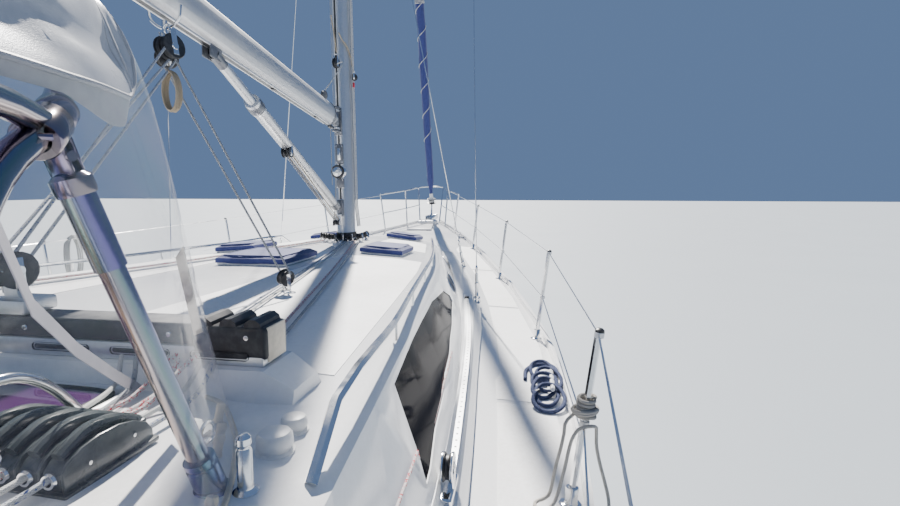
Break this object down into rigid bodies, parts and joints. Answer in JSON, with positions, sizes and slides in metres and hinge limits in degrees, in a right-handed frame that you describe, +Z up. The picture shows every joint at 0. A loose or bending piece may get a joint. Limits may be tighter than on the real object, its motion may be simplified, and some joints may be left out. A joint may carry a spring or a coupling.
{
  "type": "sailing yacht",
  "caption": "Cruising sailing yacht afloat: hull, keel, rudder, deck with coachroof and cockpit, spray hood, mast, boom, furled headsail, rigging and deck hardware.",
  "frame": {"origin": "on the centreline at the waterline, amidships", "axes": "+X towards the bow, +Y to port, +Z up"},
  "size_m": [13.01, 4.2328, 20.262],
  "materials": {
    "gelcoat": "gloss white gelcoat with moulded non-slip",
    "tinted_acrylic": "dark tinted, polished",
    "antifouling": "matt paint",
    "bronze": "satin",
    "stainless": "polished",
    "anodised_aluminium": "satin anodised",
    "black_plastic": "moulded, satin",
    "flecked_line": "braided",
    "navy_line": "braided",
    "white_line": "braided",
    "navy_canvas": "woven",
    "hood_canvas": "coated, wrinkled",
    "clear_vinyl": "clear flexible sheet"
  },
  "bodies": {
    "boat": {"hull": "gelcoat", "deck": "gelcoat", "coachroof": "gelcoat", "cockpit": "gelcoat", "window_starboard": "tinted_acrylic", "window_port": "tinted_acrylic", "keel": "antifouling", "saildrive": "antifouling", "toe_rail_starboard": "gelcoat", "toe_rail_port": "gelcoat", "guard_rail_starboard": "stainless", "guard_rail_port": "stainless", "pulpit": "stainless", "pushpit_starboard": "stainless", "pushpit_port": "stainless", "mast": "anodised_aluminium", "mainsheet": "flecked_line", "traveller": "black_plastic", "bow_roller": "stainless", "backstay": "stainless", "shroud_cap_starboard": "stainless", "shroud_cap_port": "stainless", "shroud_forward_starboard": "stainless", "shroud_forward_port": "stainless", "handrail_starboard": "stainless", "handrail_port": "stainless", "genoa_track_starboard": "anodised_aluminium", "genoa_track_port": "anodised_aluminium", "roof_winch_starboard": "stainless", "roof_winch_port": "stainless", "primary_winch_starboard": "stainless", "primary_winch_port": "stainless", "clutches_starboard": "black_plastic", "clutches_port": "black_plastic", "washboard": "tinted_acrylic", "helm_pedestal": "gelcoat", "spray_hood": "hood_canvas", "hood_bow_main": "stainless", "hood_bow_aft": "stainless", "mooring_hank": "navy_line", "sheet_coil": "flecked_line", "port_coil": "white_line", "stanchion_rope": "white_line"},
    "boom": {"boom": "anodised_aluminium", "vang": "anodised_aluminium"},
    "headsail": {"furled_headsail": "navy_canvas"},
    "rudder": {"rudder": "antifouling"},
    "wheel": {"steering_wheel": "stainless"},
    "propeller": {"propeller": "bronze"},
    "saloon_lid": {"hatch_saloon": "navy_canvas"},
    "middle_lid_starboard": {"hatch_middle_starboard": "navy_canvas"},
    "middle_lid_port": {"hatch_middle_port": "navy_canvas"},
    "forward_lid_starboard": {"hatch_forward_starboard": "navy_canvas"},
    "forward_lid_port": {"hatch_forward_port": "navy_canvas"},
    "anchor_locker_lid": {"locker_lid": "gelcoat"},
    "sliding_hatch": {"companionway_hatch": "tinted_acrylic"}
  },
  "joints": [
    {"name": "boom_swing", "type": "hinge", "parent": "boat", "child": "boom", "pos_m": [1.4185, 0, 2.92], "axis": [0, 0, 1], "range_deg": [-62, 50]},
    {"name": "furler_turn", "type": "hinge", "parent": "boat", "child": "headsail", "pos_m": [6.235, 0, 1.96], "axis": [-0.2798, 0, 0.9601], "continuous": true},
    {"name": "rudder_turn", "type": "hinge", "parent": "boat", "child": "rudder", "pos_m": [-5.15, 0, 0], "axis": [0, 0, 1], "range_deg": [-35, 35]},
    {"name": "wheel_turn", "type": "hinge", "parent": "boat", "child": "wheel", "pos_m": [-4.93, 0, 1.6], "axis": [1, 0, 0], "range_deg": [-455, 455]},
    {"name": "propeller_turn", "type": "hinge", "parent": "boat", "child": "propeller", "pos_m": [-2.65, 0, -0.9], "axis": [1, 0, 0], "continuous": true},
    {"name": "saloon_lid_hinge", "type": "hinge", "parent": "boat", "child": "saloon_lid", "pos_m": [-0.215, 0, 1.77], "axis": [0, -1, 0], "range_deg": [0, 90]},
    {"name": "middle_lid_hinge_starboard", "type": "hinge", "parent": "boat", "child": "middle_lid_starboard", "pos_m": [1.08, -0.645, 1.748], "axis": [0, 1, 0], "range_deg": [0, 90]},
    {"name": "middle_lid_hinge_port", "type": "hinge", "parent": "boat", "child": "middle_lid_port", "pos_m": [1.08, 0.645, 1.748], "axis": [0, 1, 0], "range_deg": [0, 90]},
    {"name": "forward_lid_hinge_starboard", "type": "hinge", "parent": "boat", "child": "forward_lid_starboard", "pos_m": [2.52, -0.44, 1.71], "axis": [0, 1, 0], "range_deg": [0, 90]},
    {"name": "forward_lid_hinge_port", "type": "hinge", "parent": "boat", "child": "forward_lid_port", "pos_m": [2.52, 0.44, 1.71], "axis": [0, 1, 0], "range_deg": [0, 90]},
    {"name": "anchor_locker_hinge", "type": "hinge", "parent": "boat", "child": "anchor_locker_lid", "pos_m": [5.08, 0, 1.557], "axis": [0, -1, 0], "range_deg": [0, 80]},
    {"name": "hatch_slide", "type": "slide", "parent": "boat", "child": "sliding_hatch", "axis": [0.9993, 0, -0.038], "range_m": [0, 0.6]}
  ],
  "couplings": [
    {"joint": "wheel_turn", "follows": "rudder_turn", "ratio": 13}
  ]
}
